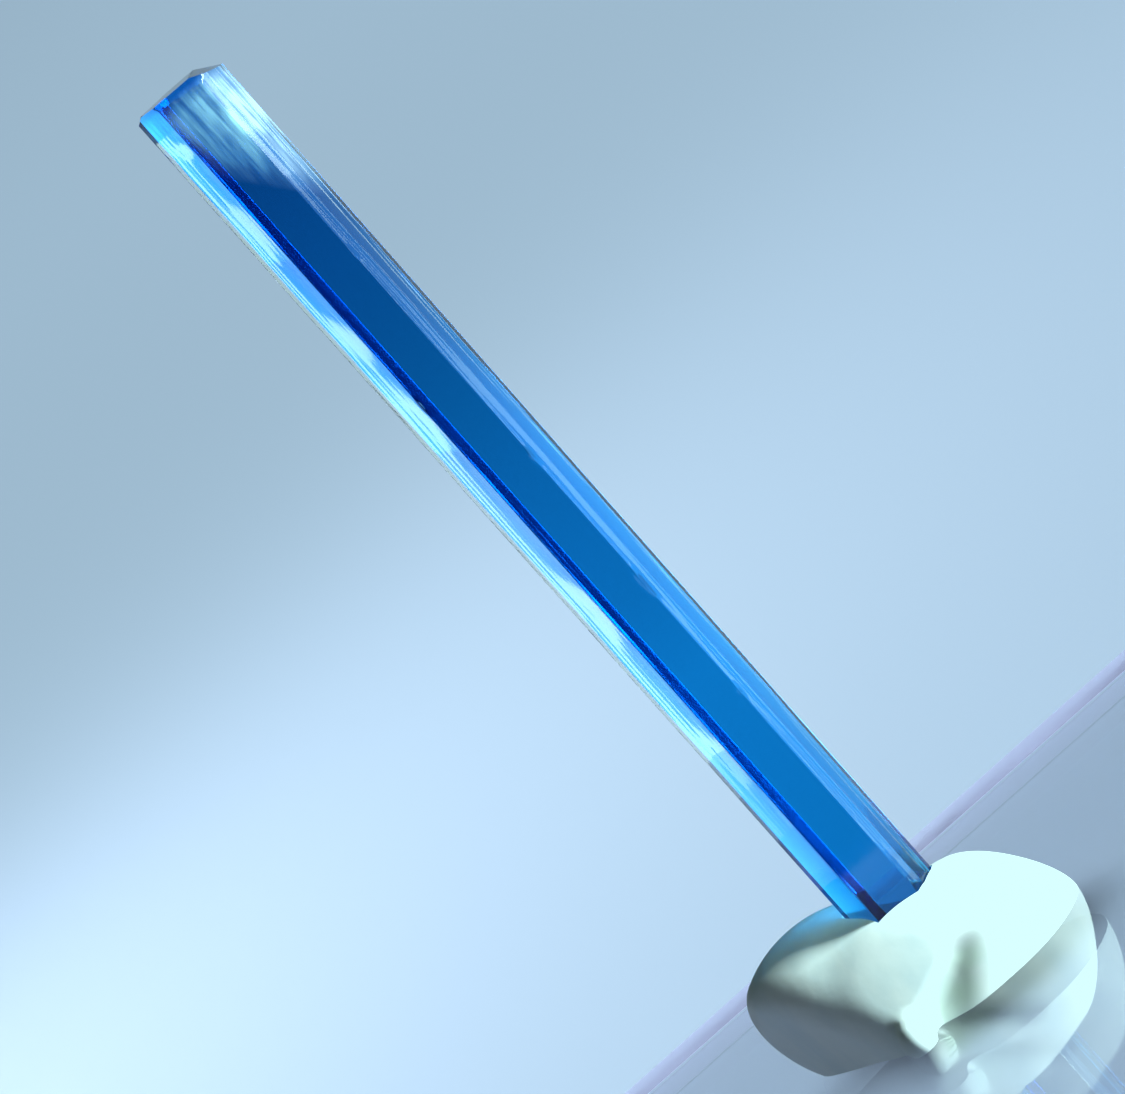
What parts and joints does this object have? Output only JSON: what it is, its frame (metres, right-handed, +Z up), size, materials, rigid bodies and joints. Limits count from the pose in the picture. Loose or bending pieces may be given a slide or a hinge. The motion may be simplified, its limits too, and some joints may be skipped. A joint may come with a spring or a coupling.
{
  "type": "tourmaline crystal",
  "caption": "Slender blue tourmaline prism, flat-topped and striated lengthwise, held upright in white mineral tack on a clear acrylic base plate.",
  "frame": {"origin": "centre of the base plate's underside", "axes": "+Z up along the crystal, -Y out of its broad front face, +X to that face's right as seen from the front"},
  "size_m": [0.055, 0.055, 0.056],
  "materials": {
    "acrylic": "polished clear acrylic",
    "tourmaline": "vitreous, see-through deep blue, striated lengthwise",
    "putty": "matt white, kneaded, with finger marks"
  },
  "bodies": {
    "root": {"base": "acrylic", "crystal": "tourmaline", "putty": "putty"}
  },
  "joints": []
}
